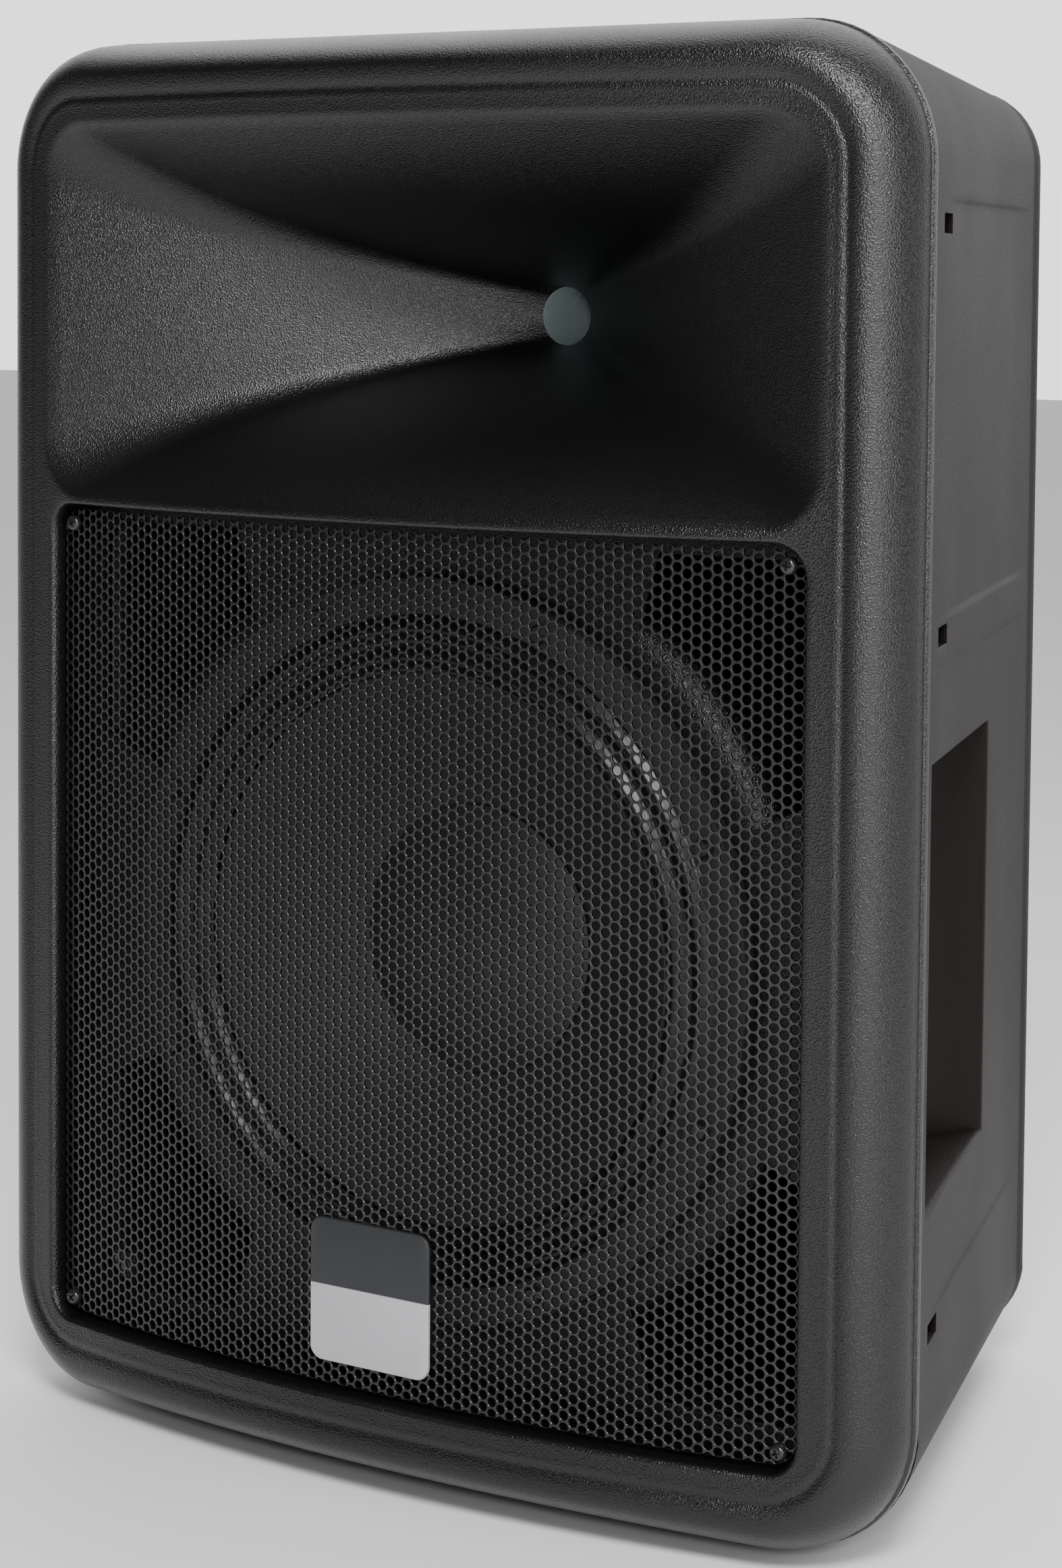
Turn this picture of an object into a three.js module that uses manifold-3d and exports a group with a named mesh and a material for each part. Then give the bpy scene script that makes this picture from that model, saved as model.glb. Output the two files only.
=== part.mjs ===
// Twelve-inch two-way moulded PA speaker cabinet, as an assembly of separate pieces.
// Millimetres, +Z up, the front faces -Y. Every piece is drawn with y = 0 on the apex of the
// bowed grille and z = 0 on the underside of the front rim; the group is then moved so that the
// origin is the centre of the bounding box's bottom face.
import * as THREE from 'three';
import { mergeVertices } from 'three/addons/utils/BufferGeometryUtils.js';
import Module from 'manifold-3d';

const wasm = await Module();
wasm.setup();

// ---------------------------------------------------------------- driving dimensions
const WALL = 4;
const GAP = 0.3;

const CABINET = { halfWidth: 228.5, height: 597.5, corner: 56, seamY: 48, rearY: 341,
  narrowing: 0.004 };
const BOW_RADIUS = 830;
const FACE_PROUD = 7;
const RIM = { width: 25, crest: 17, proud: 8.5, bead: 4 };
const REAR = { halfWidth: 130.5, top: 583, bottom: 10, corner: 35, edgeRadius: 24 };

const RECESS = { halfWidth: 190, bottom: 36.5, top: 396.5, corner: 12 };
const BAFFLE = { front: 42, back: 48 };

const HORN = { throatY: 134.5, throatRadius: 12.5, centreZ: 481.2, throatZ: 480, halfWidth: 197,
  halfHeight: 81, corner: 24 };

const WOOFER = { z: 217, cutout: 142, frame: 156, boltCircle: 147, bolts: 8 };
const PORT = { innerRadius: 176, halfWidth: 178, halfHeight: 166, length: 6 };

const GRILLE = { halfWidth: 188, bottom: 39, top: 394.2, thickness: 1.2, corner: 10 };
const GRILLE_SCREW = { x: 181.5, low: 44, high: 388, head: 3.6, shank: 1.6 };
const BADGE = { x: -1.7, z: 78.6, width: 60.6, height: 60, thickness: 1.6, corner: 6 };

const HANDLE = { bottom: 135, top: 309.5, front: 60, rear: 205, depth: 72 };
const POCKET = { heights: [519, 359, 85], front: 68, rear: 88, halfHeight: 3.6, floorX: 206 };
const SHELL_SCREW = { x: 211, head: 3.2, shank: 1.9, tip: 42 };

const PANEL = { width: 130, height: 90, thickness: 2, z: 250 };
const POLE = { y: 165, bore: 18.25, depth: 74, flange: 34 };
const FEET = { x: 90, front: 90, rear: 262, radius: 15, height: 5 };

// ---------------------------------------------------------------- colours
const BLACK_MOULDED = { color: 0x1b1b1c, roughness: 0.55, metalness: 0 };
const DARK_MOULDED = { color: 0x232220, roughness: 0.7, metalness: 0 };
const BLACK_STEEL = { color: 0x161617, roughness: 0.4, metalness: 0.6 };
const BRIGHT_STEEL = { color: 0xb4b6b8, roughness: 0.35, metalness: 1 };
const CAST_ZINC = { color: 0xa9b2b3, roughness: 0.4, metalness: 1 };
const FERRITE = { color: 0x2a2a2c, roughness: 0.8, metalness: 0 };
const PAPER = { color: 0x1f1f20, roughness: 0.9, metalness: 0 };
const RUBBER = { color: 0x121212, roughness: 0.85, metalness: 0 };

const group = new THREE.Group();

function addPiece(name, geometry, look) {
  const mesh = new THREE.Mesh(geometry, new THREE.MeshStandardMaterial(look));
  mesh.name = name;
  group.add(mesh);
  return mesh;
}

// ---------------------------------------------------------------- solid helpers
function toSolid(geometry) {
  const bare = geometry.index ? geometry.toNonIndexed() : geometry.clone();
  bare.deleteAttribute('normal');
  bare.deleteAttribute('uv');
  const merged = mergeVertices(bare, 1e-4);
  return new wasm.Manifold(new wasm.Mesh({
    numProp: 3,
    vertProperties: new Float32Array(merged.attributes.position.array),
    triVerts: new Uint32Array(merged.index.array),
  }));
}

function toGeometry(solid) {
  const mesh = solid.getMesh();
  const geometry = new THREE.BufferGeometry();
  geometry.setAttribute('position', new THREE.BufferAttribute(mesh.vertProperties, 3));
  geometry.setIndex(new THREE.BufferAttribute(mesh.triVerts, 1));
  geometry.computeVertexNormals();
  return geometry;
}

function union(...solids) {
  return solids.reduce((sum, solid) => sum.add(solid));
}

function cut(solid, ...tools) {
  return tools.reduce((rest, tool) => rest.subtract(tool), solid);
}

// Turns a lathe profile of [radius, y] points about an axis along Y.
function latheY(profile, centreX, centreZ, segments = 48) {
  const points = profile.map(([radius, y]) => new THREE.Vector2(radius, y));
  const geometry = new THREE.LatheGeometry(points, segments);
  const signedArea = profile.reduce((sum, [r, y], i) => {
    const [nextR, nextY] = profile[(i + 1) % profile.length];
    return sum + r * nextY - nextR * y;
  }, 0);
  if (signedArea < 0) {
    flipFaces(geometry);
  }
  return geometry.translate(centreX, 0, centreZ);
}

function flipFaces(geometry) {
  const index = geometry.index.array;
  for (let i = 0; i < index.length; i += 3) {
    [index[i], index[i + 1]] = [index[i + 1], index[i]];
  }
  geometry.computeVertexNormals();
}

function closeRing(profile) {
  return [...profile, profile[0]];
}

function ringY(outer, inner, front, back, centreX, centreZ, segments = 36) {
  const profile = closeRing([[inner, front], [outer, front], [outer, back], [inner, back]]);
  return latheY(profile, centreX, centreZ, segments);
}

function discY(radius, front, back, centreX, centreZ, segments = 32) {
  return latheY([[0, front], [radius, front], [radius, back], [0, back]], centreX, centreZ, segments);
}

function box(x0, x1, y0, y1, z0, z1) {
  const geometry = new THREE.BoxGeometry(x1 - x0, y1 - y0, z1 - z0);
  return geometry.translate((x0 + x1) / 2, (y0 + y1) / 2, (z0 + z1) / 2);
}

// Extrudes a shape drawn in x, z from y = front to y = back.
function extrudeY(shape, front, back, curveSegments = 8) {
  const geometry = new THREE.ExtrudeGeometry(shape, {
    depth: back - front, bevelEnabled: false, curveSegments,
  });
  return geometry.rotateX(Math.PI / 2).translate(0, back, 0);
}

// Extrudes a shape drawn in x, y from z = bottom to z = top.
function extrudeZ(shape, bottom, top, curveSegments = 8) {
  const geometry = new THREE.ExtrudeGeometry(shape, {
    depth: top - bottom, bevelEnabled: false, curveSegments,
  });
  return geometry.translate(0, 0, bottom);
}

function roundedRect(x0, x1, z0, z1, radius) {
  const shape = new THREE.Shape();
  shape.moveTo(x0 + radius, z0);
  shape.lineTo(x1 - radius, z0);
  shape.absarc(x1 - radius, z0 + radius, radius, -Math.PI / 2, 0, false);
  shape.lineTo(x1, z1 - radius);
  shape.absarc(x1 - radius, z1 - radius, radius, 0, Math.PI / 2, false);
  shape.lineTo(x0 + radius, z1);
  shape.absarc(x0 + radius, z1 - radius, radius, Math.PI / 2, Math.PI, false);
  shape.lineTo(x0, z0 + radius);
  shape.absarc(x0 + radius, z0 + radius, radius, Math.PI, Math.PI * 1.5, false);
  return shape;
}

function bow(x) {
  return BOW_RADIUS - Math.sqrt(BOW_RADIUS ** 2 - x ** 2);
}

// Upper half of a rounded rectangle, left to right, then its mirror image, right to left.
// The two halves share their x values, so a cap can be closed with upright strips.
function outline(halfWidth, z0, z1, radius, cornerSteps = 5, edgeSteps = 8) {
  const middle = (z0 + z1) / 2;
  const halfHeight = (z1 - z0) / 2;
  const upper = [];
  for (let i = 0; i <= cornerSteps; i += 1) {
    const angle = Math.PI - (Math.PI / 2) * (i / cornerSteps);
    upper.push([-halfWidth + radius + radius * Math.cos(angle),
      halfHeight - radius + radius * Math.sin(angle)]);
  }
  const span = 2 * (halfWidth - radius);
  for (let i = 1; i < edgeSteps; i += 1) {
    upper.push([-halfWidth + radius + span * (i / edgeSteps), halfHeight]);
  }
  for (let i = 0; i <= cornerSteps; i += 1) {
    const angle = Math.PI / 2 - (Math.PI / 2) * (i / cornerSteps);
    upper.push([halfWidth - radius + radius * Math.cos(angle),
      halfHeight - radius + radius * Math.sin(angle)]);
  }
  const lower = upper.map(([x, z]) => [x, -z]).reverse();
  return [...upper, ...lower].map(([x, z]) => [x, z + middle]);
}

// Joins loops of [x, y, z] points, front to back, and closes both ends with upright strips.
function loft(loops) {
  const count = loops[0].length;
  const positions = loops.flat(2);
  const index = [];
  for (let s = 0; s < loops.length - 1; s += 1) {
    for (let i = 0; i < count; i += 1) {
      const a = s * count + i;
      const b = s * count + ((i + 1) % count);
      index.push(a, b, a + count, b, b + count, a + count);
    }
  }
  const last = (loops.length - 1) * count;
  for (let i = 0; i < count / 2 - 1; i += 1) {
    const j = count - 1 - i;
    index.push(i, j, i + 1, i + 1, j, j - 1);
    index.push(last + i, last + i + 1, last + j, last + i + 1, last + j - 1, last + j);
  }
  const geometry = new THREE.BufferGeometry();
  geometry.setAttribute('position', new THREE.Float32BufferAttribute(positions, 3));
  geometry.setIndex(index);
  return geometry;
}

function loftSolid(loops) {
  const solid = toSolid(loft(loops));
  if (solid.volume() > 0) {
    return solid;
  }
  const turned = loft(loops);
  flipFaces(turned);
  return toSolid(turned);
}

function faceY(x) {
  return bow(x) - FACE_PROUD;
}

function atDepth(points, depthOf) {
  return points.map(([x, z]) => [x, depthOf(x), z]);
}

// ---------------------------------------------------------------- front shell
// The cabinet is a little narrower at the bottom than at the top.
function narrowed(points) {
  return points.map(([x, z]) => [x * (1 - CABINET.narrowing * (1 - z / CABINET.height)), z]);
}

function cabinetOutline(inset) {
  return narrowed(outline(CABINET.halfWidth - inset, inset, CABINET.height - inset,
    CABINET.corner - inset));
}

// One loop of the rim, share = 0 at the crest and 1 at the bead beside the seam.
function rimLoop(inset, share) {
  const beadY = CABINET.seamY - RIM.bead;
  return atDepth(cabinetOutline(inset), (x) => bow(x) - RIM.proud + (beadY - bow(x) + RIM.proud) * share);
}

// The rim is a rounded band: from the ridge line around the face it rises to a crest a little
// proud of the grille, then rounds back to the seam. The bowed face leaves it deepest at the
// middle of the top and bottom edges.
function frontOuter() {
  const ridge = atDepth(outline(CABINET.halfWidth - RIM.width, RIM.width,
    CABINET.height - RIM.width, CABINET.corner - RIM.width), faceY);
  const loops = [ridge, rimLoop(RIM.width - 4, 0.06)];
  for (const angle of [90, 62, 36, 14, 0]) {
    const turn = THREE.MathUtils.degToRad(angle);
    loops.push(rimLoop(RIM.crest * (1 - Math.cos(turn)), 1 - Math.sin(turn)));
  }
  loops.push(atDepth(cabinetOutline(0), () => CABINET.seamY));
  return loftSolid(loops);
}

function frontInner() {
  const beadY = CABINET.seamY - RIM.bead;
  return loftSolid([
    atDepth(cabinetOutline(WALL + 8), (x) => faceY(x) + WALL + 1),
    atDepth(cabinetOutline(WALL + 3), (x) => faceY(x) + WALL + 1 + 0.45 * (beadY - faceY(x))),
    atDepth(cabinetOutline(WALL), () => beadY + 1),
    atDepth(cabinetOutline(WALL), () => CABINET.seamY + 5),
  ]);
}

// The horn's section changes from the round throat to the rectangular mouth. The height opens
// late, so the upper and lower walls end in a flared lip.
function hornSolid(offset, frontExtra) {
  const mouth = outline(HORN.halfWidth + offset, HORN.centreZ - HORN.halfHeight - offset,
    HORN.centreZ + HORN.halfHeight + offset, HORN.corner + offset);
  const count = mouth.length;
  const throat = mouth.map((_, i) => {
    const half = count / 2;
    const step = i < half ? i : count - 1 - i;
    const angle = Math.PI - (Math.PI * (step + 0.5)) / half;
    const side = i < half ? 1 : -1;
    const radius = HORN.throatRadius + offset;
    return [radius * Math.cos(angle), HORN.throatZ + side * radius * Math.sin(angle)];
  });
  const loops = [];
  const stations = [1, 0.92, 0.8, 0.62, 0.42, 0.2, 0];
  if (frontExtra) {
    loops.push(mouth.map(([x, z]) => [x, bow(x) - frontExtra, z]));
  }
  for (const t of stations) {
    const across = 0.8 * t + 0.2 * t ** 3;
    const upright = 0.62 * t + 0.38 * t ** 4;
    loops.push(mouth.map(([x, z], i) => {
      const depth = HORN.throatY + (faceY(x) + 1 - HORN.throatY) * t;
      return [throat[i][0] + (x - throat[i][0]) * across, depth,
        throat[i][1] + (z - throat[i][1]) * upright];
    }));
  }
  if (frontExtra) {
    loops.push(throat.map(([x, z]) => [x, HORN.throatY + 2, z]));
  }
  return loftSolid(loops);
}

// A corner port is bounded by the recess on two sides and by an arc around the woofer.
function portShape(offset, signX, signZ) {
  const right = PORT.halfWidth + offset;
  const high = PORT.halfHeight + offset;
  const radius = PORT.innerRadius - offset;
  const start = Math.asin(Math.min(1, 62 / radius));
  const end = Math.acos(Math.min(1, 96 / radius));
  const points = [];
  const steps = 5;
  for (let i = 0; i <= steps; i += 1) {
    const angle = start + ((end - start) * i) / steps;
    points.push([radius * Math.cos(angle), radius * Math.sin(angle)]);
  }
  points.push([points[steps][0], high], [right - 14, high], [right - 4, high - 4],
    [right, high - 14], [right, points[0][1]]);
  const placed = points.map(([x, z]) => new THREE.Vector2(signX * x, WOOFER.z + signZ * z));
  return new THREE.Shape(placed);
}

function ports(offset, front, back) {
  const solids = [];
  for (const signX of [-1, 1]) {
    for (const signZ of [-1, 1]) {
      solids.push(toSolid(extrudeY(portShape(offset, signX, signZ), front, back)));
    }
  }
  return union(...solids);
}

function boltHoles(radius, front, back) {
  return union(...boltAngles().map((angle) => toSolid(discY(radius, front, back,
    WOOFER.boltCircle * Math.cos(angle), WOOFER.z + WOOFER.boltCircle * Math.sin(angle), 10))));
}

function boltAngles() {
  return Array.from({ length: WOOFER.bolts },
    (_, i) => ((i + 0.5) * 2 * Math.PI) / WOOFER.bolts);
}

function grilleScrewSpots() {
  return [[-1, GRILLE_SCREW.high], [1, GRILLE_SCREW.high], [-1, GRILLE_SCREW.low],
    [1, GRILLE_SCREW.low]].map(([side, z]) => [side * GRILLE_SCREW.x, z]);
}

function shellScrewSpots() {
  return [-1, 1].flatMap((side) => POCKET.heights.map((z) => [side * SHELL_SCREW.x, z]));
}

function frontShell() {
  const outer = frontOuter();
  const recessFrame = toSolid(extrudeY(roundedRect(-RECESS.halfWidth - WALL,
    RECESS.halfWidth + WALL, RECESS.bottom - WALL, RECESS.top + WALL, RECESS.corner + WALL),
  -12, BAFFLE.back));
  const bosses = shellScrewSpots().map(([x, z]) => {
    const [x0, x1] = x > 0 ? [x - 8, CABINET.halfWidth] : [-CABINET.halfWidth, x + 8];
    return toSolid(box(x0, x1, 20, CABINET.seamY, z - 8, z + 8));
  });
  const inside = union(recessFrame, ...bosses).intersect(outer);
  const ledge = grilleScrewSpots().map(([x, z]) => toSolid(box(x - 6, x + 6,
    bow(RECESS.halfWidth) + GRILLE.thickness + GAP, BAFFLE.front + 1, z - 6, z + 6)));
  const recess = toSolid(extrudeY(roundedRect(-RECESS.halfWidth, RECESS.halfWidth,
    RECESS.bottom, RECESS.top, RECESS.corner), -30, BAFFLE.front));
  const shell = cut(outer, frontInner());
  const horn = hornSolid(WALL, 0);
  const ducts = ports(3, BAFFLE.front + 1, PORT.length + BAFFLE.back);
  const body = union(cut(union(shell, inside, horn), recess), ducts, ...ledge);
  return cut(body, hornSolid(0, 30), ports(0, 10, PORT.length + BAFFLE.back + 5),
    toSolid(discY(WOOFER.cutout, 30, 60, 0, WOOFER.z, 48)), boltHoles(2.6, 30, 60),
    ...grilleScrewSpots().map(([x, z]) => toSolid(discY(GRILLE_SCREW.shank + GAP, 0, 60, x, z, 8))),
    ...shellScrewSpots().map(([x, z]) => toSolid(discY(SHELL_SCREW.shank + GAP,
      SHELL_SCREW.tip - 1, 60, x, z, 8))));
}

// ---------------------------------------------------------------- rear shell
function rearLoop(t, inset) {
  const mix = (from, to) => from + (to - from) * t;
  const halfWidth = mix(CABINET.halfWidth - 1, REAR.halfWidth) - inset;
  const z0 = mix(0.5, REAR.bottom) + inset;
  const z1 = mix(CABINET.height - 0.5, REAR.top) - inset;
  const corner = Math.max(mix(CABINET.corner - 1, REAR.corner) - inset, 10);
  return narrowed(outline(halfWidth, z0, z1, corner));
}

function rearSolid(inset, front) {
  const taperEnd = CABINET.rearY - REAR.edgeRadius;
  const loops = [];
  const length = taperEnd - CABINET.seamY;
  loops.push(atDepth(rearLoop(0, inset), () => front));
  loops.push(atDepth(rearLoop((taperEnd - CABINET.seamY) / length, inset),
    () => taperEnd));
  const radius = REAR.edgeRadius - inset;
  for (const angle of [30, 60, 90]) {
    const turn = THREE.MathUtils.degToRad(angle);
    loops.push(atDepth(rearLoop(1, inset + radius * (1 - Math.cos(turn))),
      () => taperEnd + radius * Math.sin(turn)));
  }
  return loftSolid(loops);
}

// Plan of a hand recess: open at the side wall, deep at the front, with a smooth rear wall that
// curves back out to the side.
function handleShape(side, offset) {
  const shape = new THREE.Shape();
  const sideX = (y) => side * (CABINET.halfWidth + 30 - (y - CABINET.seamY) * 0.12);
  const deep = CABINET.halfWidth - HANDLE.depth - offset;
  shape.moveTo(sideX(HANDLE.front), HANDLE.front - offset);
  shape.lineTo(side * (deep + 12), HANDLE.front - offset);
  shape.quadraticCurveTo(side * deep, HANDLE.front - offset, side * deep, HANDLE.front + 14);
  shape.bezierCurveTo(side * deep, HANDLE.front + 70, side * (deep - 8 + offset),
    HANDLE.rear - 26 + offset, side * 170, HANDLE.rear + offset);
  shape.lineTo(sideX(HANDLE.rear), HANDLE.rear + offset);
  return shape;
}

function handleSolid(side, offset) {
  return toSolid(extrudeZ(handleShape(side, offset), HANDLE.bottom - offset,
    HANDLE.top + offset, 8));
}

function screwPockets(side) {
  return POCKET.heights.map((z) => {
    const xs = side > 0 ? [POCKET.floorX, 260] : [-260, -POCKET.floorX];
    return toSolid(box(xs[0], xs[1], POCKET.front, POCKET.rear, z - POCKET.halfHeight,
      z + POCKET.halfHeight));
  });
}

function screwBlocks(side) {
  return POCKET.heights.map((z) => {
    const xs = side > 0 ? [POCKET.floorX - 4, 260] : [-260, 4 - POCKET.floorX];
    return toSolid(box(xs[0], xs[1], CABINET.seamY + GAP, POCKET.rear + WALL, z - 8, z + 8));
  });
}

function footSpots() {
  return [[-1, FEET.front], [1, FEET.front], [-1, FEET.rear], [1, FEET.rear]]
    .map(([side, y]) => [side * FEET.x, y]);
}

// A moulded boss under the sloping bottom gives a foot or the pole socket a level seat.
function seatBoss(x, y, radius) {
  const height = 24;
  return toSolid(new THREE.CylinderGeometry(radius, radius, height, 28)
    .rotateX(Math.PI / 2).translate(x, y, height / 2 + GAP));
}

function rearShell() {
  const outer = rearSolid(0, CABINET.seamY + GAP);
  const inner = rearSolid(WALL, CABINET.seamY - 5);
  const panelPad = toSolid(box(-PANEL.width / 2 - 6, PANEL.width / 2 + 6, CABINET.rearY - 8,
    CABINET.rearY, PANEL.z - PANEL.height / 2 - 6, PANEL.z + PANEL.height / 2 + 6));
  const seats = footSpots().map(([x, y]) => seatBoss(x, y, FEET.radius + 2));
  seats.push(seatBoss(0, POLE.y, POLE.flange + 1));
  const standoffs = boardSpots().map(([x, z]) => toSolid(discY(4, BOARD.y + 1.6 + GAP,
    CABINET.rearY - 2, x, z, 12)));
  const fittings = [];
  for (const side of [-1, 1]) {
    fittings.push(handleSolid(side, WALL), ...screwBlocks(side));
  }
  const shell = union(cut(outer, inner), union(...fittings, panelPad,
    ...standoffs).intersect(outer), ...seats);
  const hollows = [];
  for (const side of [-1, 1]) {
    hollows.push(handleSolid(side, 0), ...screwPockets(side));
  }
  const half = { x: PANEL.width / 2 + GAP, z: PANEL.height / 2 + GAP };
  hollows.push(toSolid(box(-half.x, half.x, CABINET.rearY - PANEL.thickness - GAP,
    CABINET.rearY + 5, PANEL.z - half.z, PANEL.z + half.z)));
  hollows.push(toSolid(box(12 - half.x, half.x - 12, CABINET.rearY - 20, CABINET.rearY + 5,
    PANEL.z - half.z + 12, PANEL.z + half.z - 12)));
  hollows.push(...panelScrewSpots().map(([x, z]) => toSolid(discY(1.6 + GAP,
    CABINET.rearY - 7, CABINET.rearY + 5, x, z, 8))));
  hollows.push(...shellScrewSpots().map(([x, z]) => toSolid(discY(SHELL_SCREW.shank + GAP,
    30, POCKET.front + 1, x, z, 8))));
  hollows.push(toSolid(new THREE.CylinderGeometry(POLE.bore + 3.5 + GAP, POLE.bore + 3.5 + GAP,
    80, 40).rotateX(Math.PI / 2).translate(0, POLE.y, 20)));
  return cut(shell, ...hollows);
}

// ---------------------------------------------------------------- grille, badge and screws
function grille() {
  const half = outline(GRILLE.halfWidth, GRILLE.bottom, GRILLE.top, GRILLE.corner, 4, 16);
  const plate = loftSolid([atDepth(half, bow), atDepth(half, (x) => bow(x) + GRILLE.thickness)]);
  const holes = grilleScrewSpots().map(([x, z]) => toSolid(discY(GRILLE_SCREW.shank + GAP,
    0, 60, x, z, 8)));
  return cut(plate, ...holes);
}

function badge() {
  const plate = roundedRect(BADGE.x - BADGE.width / 2, BADGE.x + BADGE.width / 2,
    BADGE.z - BADGE.height / 2, BADGE.z + BADGE.height / 2, BADGE.corner);
  return extrudeY(plate, -BADGE.thickness - GAP, -GAP, 5);
}

function screwAlongY(headRadius, headHeight, shankRadius, seat, tip, x, z) {
  return latheY([[0, seat - headHeight], [headRadius * 0.7, seat - headHeight],
    [headRadius, seat - headHeight * 0.4], [headRadius, seat], [shankRadius, seat],
    [shankRadius, tip], [0, tip]], x, z, 8);
}

function addFrontTrim() {
  addPiece('grille', toGeometry(grille()), BLACK_STEEL);
  addPiece('badge', badge(), { color: 0x8d9094, roughness: 0.35, metalness: 0.7 });
  grilleScrewSpots().forEach(([x, z], i) => {
    const seat = bow(x) - GAP - 0.7;
    addPiece(`grille_screw_${i + 1}`, screwAlongY(GRILLE_SCREW.head, 2.2, GRILLE_SCREW.shank,
      seat, seat + 16, x, z), BLACK_STEEL);
  });
}

// ---------------------------------------------------------------- woofer
const MOTOR = { coil: 32, spider: 70, plateFront: 112, plateBack: 120, magnetBack: 141 };
const CONE = { edge: 116, edgeY: 38, neck: 33.2, neckY: 84, capRadius: 57, capY: 70.5 };

function wooferBasket() {
  const walls = closeRing([[137, 38], [WOOFER.frame, 38], [WOOFER.frame, 41.6], [139.5, 41.6],
    [137, 50], [82, 106], [77, 111.6], [46, 111.6], [46, 108.6], [74, 108.6],
    [75.5, 99.5], [70.5, 99.5], [70.5, 97], [86, 97], [134, 48]]);
  const basket = toSolid(latheY(walls, 0, WOOFER.z, 36));
  const windows = [];
  for (let i = 0; i < 6; i += 1) {
    const slot = new THREE.Shape();
    slot.moveTo(96, -18);
    slot.lineTo(128, -36);
    slot.lineTo(128, 36);
    slot.lineTo(96, 18);
    const tool = extrudeY(slot, 52, 130);
    tool.rotateY((i * Math.PI) / 3);
    windows.push(toSolid(tool.translate(0, 0, WOOFER.z)));
  }
  return cut(basket, ...windows, boltHoles(2.6, 30, 60));
}

function surroundProfile() {
  const crests = [[139, 36.6], [136, 33.4], [132.5, 36.8], [129, 33.2], [125.5, 36.8],
    [122, 33.6], [118.4, 36.8]];
  const back = crests.map(([r, y]) => [r, y + 1]).reverse();
  return closeRing([[140.4, 36.6], ...crests, [115, 36.8], [115, 37.6], ...back, [140.4, 37.6]]);
}

function spiderProfile() {
  const front = [];
  for (let i = 0; i <= 8; i += 1) {
    const radius = 34.6 + ((MOTOR.spider - 34.6) * i) / 8;
    front.push([radius, 95 + (i % 2 ? 1.2 : -1.2)]);
  }
  const back = front.map(([r, y]) => [r, y + 0.8]).reverse();
  return closeRing([...front, ...back]);
}

function coneProfile() {
  return closeRing([[CONE.edge, CONE.edgeY], [CONE.edge - 3, CONE.edgeY], [86, 54.5],
    [58, 71.4], [CONE.neck, CONE.neckY], [CONE.neck, CONE.neckY + 1.4], [59, 72.8],
    [87, 55.9], [CONE.edge, CONE.edgeY + 1.4]]);
}

// The dust cap is a thin dome glued on the cone: a closed skin, open at the back.
function dustCapProfile() {
  const front = [];
  const back = [];
  for (let i = 0; i <= 4; i += 1) {
    const share = i / 4;
    const rise = 14 * (1 - share ** 2);
    front.push([CONE.capRadius * share, CONE.capY - rise]);
    back.unshift([Math.max(0, (CONE.capRadius - 1.4) * share), CONE.capY + 0.3 - rise + 0.6]);
  }
  return [...front, ...back];
}

function addWoofer() {
  const z = WOOFER.z;
  addPiece('woofer_basket', toGeometry(wooferBasket()), BLACK_STEEL);
  const gasketRing = toSolid(ringY(WOOFER.frame, 141, 34.4, 37.7, 0, z));
  addPiece('woofer_gasket', toGeometry(cut(gasketRing, boltHoles(2.6, 30, 60))), RUBBER);
  addPiece('woofer_surround', latheY(surroundProfile(), 0, z, 36), RUBBER);
  addPiece('woofer_cone', latheY(coneProfile(), 0, z, 36), PAPER);
  addPiece('woofer_dust_cap', latheY(dustCapProfile(), 0, z, 30), PAPER);
  addPiece('woofer_spider', latheY(spiderProfile(), 0, z, 24), {
    color: 0x9b7a3a, roughness: 0.9, metalness: 0,
  });
  addPiece('woofer_voice_coil', ringY(MOTOR.coil + 0.8, MOTOR.coil - 0.2, 86, 124, 0, z, 28), {
    color: 0xa5642f, roughness: 0.4, metalness: 0.8,
  });
  addPiece('woofer_top_plate', ringY(75, 34.5, MOTOR.plateFront, MOTOR.plateBack, 0, z, 28),
    BRIGHT_STEEL);
  addPiece('woofer_magnet', ringY(78, 40, MOTOR.plateBack + GAP, MOTOR.magnetBack, 0, z, 28),
    FERRITE);
  const yokeFront = MOTOR.magnetBack + GAP;
  addPiece('woofer_pole_yoke', latheY([[0, MOTOR.plateFront - 2], [30, MOTOR.plateFront - 2],
    [30, yokeFront], [75, yokeFront], [75, yokeFront + 9], [0, yokeFront + 9]], 0, z, 28),
  BRIGHT_STEEL);
  boltAngles().forEach((angle, i) => {
    const x = WOOFER.boltCircle * Math.cos(angle);
    const boltZ = z + WOOFER.boltCircle * Math.sin(angle);
    addPiece(`woofer_bolt_${i + 1}`, screwAlongY(4.4, 2.8, 2.2, 34.4 - GAP, 54, x, boltZ),
      BLACK_STEEL);
  });
}

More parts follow.
